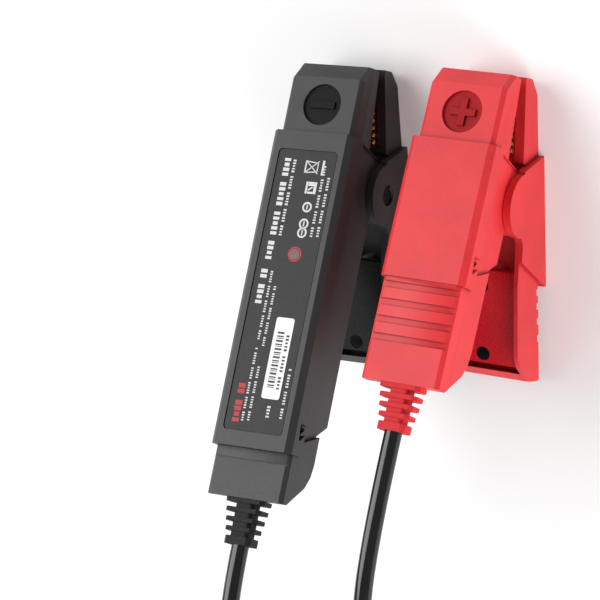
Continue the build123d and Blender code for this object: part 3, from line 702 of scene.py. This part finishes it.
class TESTER_OT_label(bpy.types.Operator):
    """Print the label with plain rows of marks and put the sticker on it"""

    bl_idname = "tester.label"
    bl_label = "Label"

    def execute(self, context):
        settings = context.scene.tester_label
        dress("black_label", "label")
        dress("black_light_guide", "led")
        place = front_matrix("black")
        level = front_of("black_label", place)
        white = bmesh.new()
        for row in white_rows:
            self.add_row(white, *row)
        self.add_bin(white)
        self.add_round_marks(white)
        self.add_tick_box(white)
        self.print_piece("label_print", white, "white_ink", place, level, settings.ink_height)

        red = bmesh.new()
        self.add_row(red, *red_row)
        self.add_ring(red, lamp_middle, lamp_inner, lamp_outer)
        self.print_piece("label_accent", red, "red_ink", place, level, settings.ink_height)

        sticker = bmesh.new()
        self.add_bar(sticker, sticker_middle, sticker_width, sticker_length)
        bmesh.ops.bevel(
            sticker,
            geom=list(sticker.verts),
            offset=sticker_corner,
            offset_type="OFFSET",
            segments=5,
            profile=0.5,
            affect="VERTICES",
            material=-1,
        )
        self.print_piece("sticker", sticker, "paper", place, level, settings.sticker_height)

        stripes = bmesh.new()
        self.add_stripes(stripes)
        self.add_row(stripes, *sticker_row)
        top = level + settings.sticker_height
        self.print_piece("sticker_print", stripes, "black_ink", place, top, settings.ink_height)
        return {"FINISHED"}

    def add_bar(self, bm, middle, width, length, turn=0.0):
        """A flat rectangle, turned about its middle by an angle in degrees."""
        place = Matrix.Translation((*middle, 0)) @ Matrix.Rotation(math.radians(turn), 4, "Z")
        spread = Matrix.Diagonal((width / 2, length / 2, 1, 1))
        bmesh.ops.create_grid(bm, x_segments=1, y_segments=1, size=1.0, matrix=place @ spread)

    def add_row(self, bm, x, height, start, end, count, fill):
        """A line of print: marks of uneven width with gaps between words."""
        pitch = (end - start) / count
        for k in range(count):
            if count > word_length and k % word_length == word_length - 2:
                continue
            narrow = 0.8 + 0.2 * (k * 5 % 4) / 3
            tall = 0.78 if k % 3 == 1 else 1.0
            self.add_bar(bm, (x, start + (k + 0.5) * pitch), height * tall, pitch * fill * narrow)

    def add_stripes(self, bm):
        """Stripes of three widths and three spaces, in a plain repeating order."""
        spot = stripe_start
        for k in range(stripe_count):
            width = 0.25 + 0.2 * (k * 7 % 3)
            space = 0.3 + 0.15 * (k * 5 % 3)
            self.add_bar(bm, (stripe_x, spot + width / 2), stripe_height, width)
            spot += width + space

    def add_ring(self, bm, middle, inner, outer):
        """A flat ring about a point."""
        spot = Matrix.Translation((*middle, 0))
        made = bmesh.ops.create_circle(bm, cap_ends=True, segments=ring_sides, radius=outer, matrix=spot)
        face = made["verts"][0].link_faces[0]
        bmesh.ops.inset_region(bm, faces=[face], thickness=outer - inner, use_boundary=True)
        bmesh.ops.delete(bm, geom=[face], context="FACES")

    def add_bin(self, bm):
        """Waste bin symbol: two slanted sides, a lid, a floor, a cross through it and a bar under it."""
        x, y = bin_middle
        for side, turn in ((-1.7, 6), (1.7, -6)):
            self.add_bar(bm, (x, y + side), 4.4, 0.35, turn)
        self.add_bar(bm, (x - 2.3, y), 0.5, 4.2)
        self.add_bar(bm, (x + 2.2, y), 0.35, 2.9)
        for turn in (-40, 40):
            self.add_bar(bm, (x, y), 6.6, 0.32, turn)
        self.add_bar(bm, (x + 4.2, y), 0.8, 5.0)

    def add_tick_box(self, bm):
        """White square with a dark window that holds a short slanted tick."""
        x, y = box_middle
        window = 2 * box_half - 1.7
        self.add_bar(bm, (x - box_half + 0.35, y), 0.7, 2 * box_half)
        self.add_bar(bm, (x + box_half - 0.5, y), 1.0, 2 * box_half)
        self.add_bar(bm, (x, y - box_half + 0.35), window, 0.7)
        self.add_bar(bm, (x, y + box_half - 0.7), window, 1.4)
        self.add_bar(bm, (x - 0.2, y - 0.3), 1.9, 0.5, 35)

    def add_round_marks(self, bm):
        """Three round marks along the label, each a ring with a short bar in it."""
        for y in round_spots:
            self.add_ring(bm, (round_x, y), round_inner, round_outer)
            self.add_bar(bm, (round_x, y), 0.45, 1.7)

    def print_piece(self, name, bm, ink, place, level, height):
        """Give flat marks a thickness and lay them on the clamp's front."""
        bmesh.ops.translate(bm, vec=(0, 0, level / mm), verts=bm.verts)
        bmesh.ops.scale(bm, vec=(mm, mm, mm), verts=bm.verts)
        made = bmesh.ops.extrude_face_region(bm, geom=list(bm.faces))
        raised = [item for item in made["geom"] if isinstance(item, bmesh.types.BMVert)]
        bmesh.ops.translate(bm, vec=(0, 0, height), verts=raised)
        bmesh.ops.transform(bm, matrix=place, verts=bm.verts)
        piece = new_piece(name, bm, front_body, ink)


class TESTER_OT_contacts(bpy.types.Operator):
    """Finish the toothed copper plates and their fasteners"""

    bl_idname = "tester.contacts"
    bl_label = "Jaw contacts"

    def execute(self, context):
        for clamp in clamps:
            dress(f"{clamp}_fixed_contact", "copper")
            dress(f"{clamp}_lever_contact", "copper")
            for name in ("contact_bolts", "contact_nuts", "lever_contact_screws"):
                dress(f"{clamp}_{name}", "steel")
        return {"FINISHED"}


class TESTER_OT_hardware(bpy.types.Operator):
    """Finish the pins, clips and screws, and stand a steel copy in for each spring"""

    bl_idname = "tester.hardware"
    bl_label = "Hardware"

    def execute(self, context):
        for clamp in clamps:
            dress(f"{clamp}_shell_screws", "steel")
            for name in ("liner_screws", "pivot_pin", "pin_clip"):
                dress(f"{clamp}_{name}", "black_steel")
            node = f"{clamp}_torsion_spring"
            spring = new_piece(f"wound_{node}", merged_copy(node), None, "steel", smooth=True)
            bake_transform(spring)
            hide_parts(node)
        return {"FINISHED"}


class TESTER_OT_boots(bpy.types.Operator):
    """Finish the strain reliefs moulded on the cable"""

    bl_idname = "tester.boots"
    bl_label = "Strain reliefs"

    def execute(self, context):
        for clamp in clamps:
            dress(f"{clamp}_strain_relief", f"{clamp}_rubber")
        return {"FINISHED"}


class TESTER_OT_electronics(bpy.types.Operator):
    """Finish the circuit board, what stands on it, and the wires"""

    bl_idname = "tester.electronics"
    bl_label = "Electronics"

    def execute(self, context):
        inside = {
            "black_circuit_board": "board",
            "black_radio_module": "can",
            "black_controller_chip": "chip",
            "black_capacitors": "can",
            "black_load_resistor": "ceramic",
            "black_status_led": "led",
            "black_sense_wire": "wire_insulation",
            "black_supply_wire": "wire_insulation",
            "red_jaw_wire": "wire_insulation",
        }
        for node, slot in inside.items():
            dress(node, slot)
        return {"FINISHED"}


class TESTER_OT_stage(bpy.types.Operator):
    """Set up the floor, the soft lights and the camera"""

    bl_idname = "tester.stage"
    bl_label = "Stage"

    def execute(self, context):
        settings = context.scene.tester_stage
        self.make_floor(context, settings)
        self.make_lights(context)
        self.make_camera(context, settings)
        context.scene.view_settings.view_transform = "Standard"
        return {"FINISHED"}

    def make_floor(self, context, settings):
        """A plain pale floor that runs past the picture's edges."""
        bm = bmesh.new()
        bmesh.ops.create_grid(bm, x_segments=1, y_segments=1, size=floor_reach)
        mesh = bpy.data.meshes.new("floor")
        bm.to_mesh(mesh)
        bm.free()
        mesh.materials.append(lit_backdrop("Opal acrylic", settings.floor_colour))
        floor = bpy.data.objects.new("floor", mesh)
        context.scene.collection.objects.link(floor)

    def make_lights(self, context):
        """
        One large softbox overhead, whose reflection greys the labelled fronts, a smaller one on
        the red clamp's side, and an even pale room that fills the shadows.
        """
        world = bpy.data.worlds.new("Soft room")
        world.use_nodes = True
        background = world.node_tree.nodes["Background"]
        background.inputs["Color"].default_value = (1, 1, 1, 1)
        background.inputs["Strength"].default_value = 0.36
        context.scene.world = world
        aim = Vector((0.02, -0.03, 0.05))
        for name, place, size, power in (
            ("overhead_softbox", (-0.60, 0.30, 0.76), 0.9, 11.6),
            ("side_softbox", (0.72, -0.62, 0.36), 0.6, 8.5),
        ):
            light = bpy.data.lights.new(name, "AREA")
            light.size = size
            light.energy = power
            lamp = bpy.data.objects.new(name, light)
            lamp.location = place
            lamp.rotation_mode = "QUATERNION"
            lamp.rotation_quaternion = (Vector(place) - aim).to_track_quat("Z", "Y")
            context.scene.collection.objects.link(lamp)

    def make_camera(self, context, settings):
        """A long lens that looks at the aim point from a bearing and a height."""
        bearing, height = settings.azimuth, settings.elevation
        toward = Vector(
            (math.sin(bearing) * math.cos(height), -math.cos(bearing) * math.cos(height), math.sin(height))
        )
        camera = bpy.data.objects.new("camera", bpy.data.cameras.new("camera"))
        camera.data.lens = settings.lens
        camera.data.sensor_width = 36
        camera.data.clip_start = 0.01
        camera.location = Vector(settings.aim) + toward * settings.distance
        camera.rotation_mode = "QUATERNION"
        camera.rotation_quaternion = toward.to_track_quat("Z", "Y") @ Quaternion((0, 0, 1), settings.roll)
        context.scene.collection.objects.link(camera)
        context.scene.camera = camera


# ---------------------------------------------------------------- panel and run
operators = (
    TESTER_OT_stage,
    TESTER_OT_cable,
    TESTER_OT_shells,
    TESTER_OT_polarity,
    TESTER_OT_label,
    TESTER_OT_contacts,
    TESTER_OT_hardware,
    TESTER_OT_boots,
    TESTER_OT_electronics,
)
settings_groups = {
    "tester_plastic": TesterPlasticSettings,
    "tester_label": TesterLabelSettings,
    "tester_cable": TesterCableSettings,
    "tester_stage": TesterStageSettings,
}


class TESTER_PT_panel(bpy.types.Panel):
    """Buttons for every group of pieces, and their settings"""

    bl_label = "Battery Tester"
    bl_idname = "TESTER_PT_panel"
    bl_space_type = "VIEW_3D"
    bl_region_type = "UI"
    bl_category = "Tester"

    def draw(self, context):
        for name, group in settings_groups.items():
            box = self.layout.box()
            for prop in group.__annotations__:
                box.prop(getattr(context.scene, name), prop)
        for operator in operators:
            self.layout.operator(operator.bl_idname)


def register():
    for group in settings_groups.values():
        bpy.utils.register_class(group)
    for name, group in settings_groups.items():
        setattr(bpy.types.Scene, name, bpy.props.PointerProperty(type=group))
    for cls in (*operators, TESTER_PT_panel):
        bpy.utils.register_class(cls)


def unregister():
    for cls in reversed((*operators, TESTER_PT_panel)):
        bpy.utils.unregister_class(cls)
    for name in settings_groups:
        delattr(bpy.types.Scene, name)
    for group in settings_groups.values():
        bpy.utils.unregister_class(group)


def main():
    register()
    bpy.ops.tester.stage()
    bpy.ops.tester.cable()
    bpy.ops.tester.shells()
    bpy.ops.tester.polarity()
    bpy.ops.tester.label()
    bpy.ops.tester.contacts()
    bpy.ops.tester.hardware()
    bpy.ops.tester.boots()
    bpy.ops.tester.electronics()


if __name__ == "__main__":
    main()
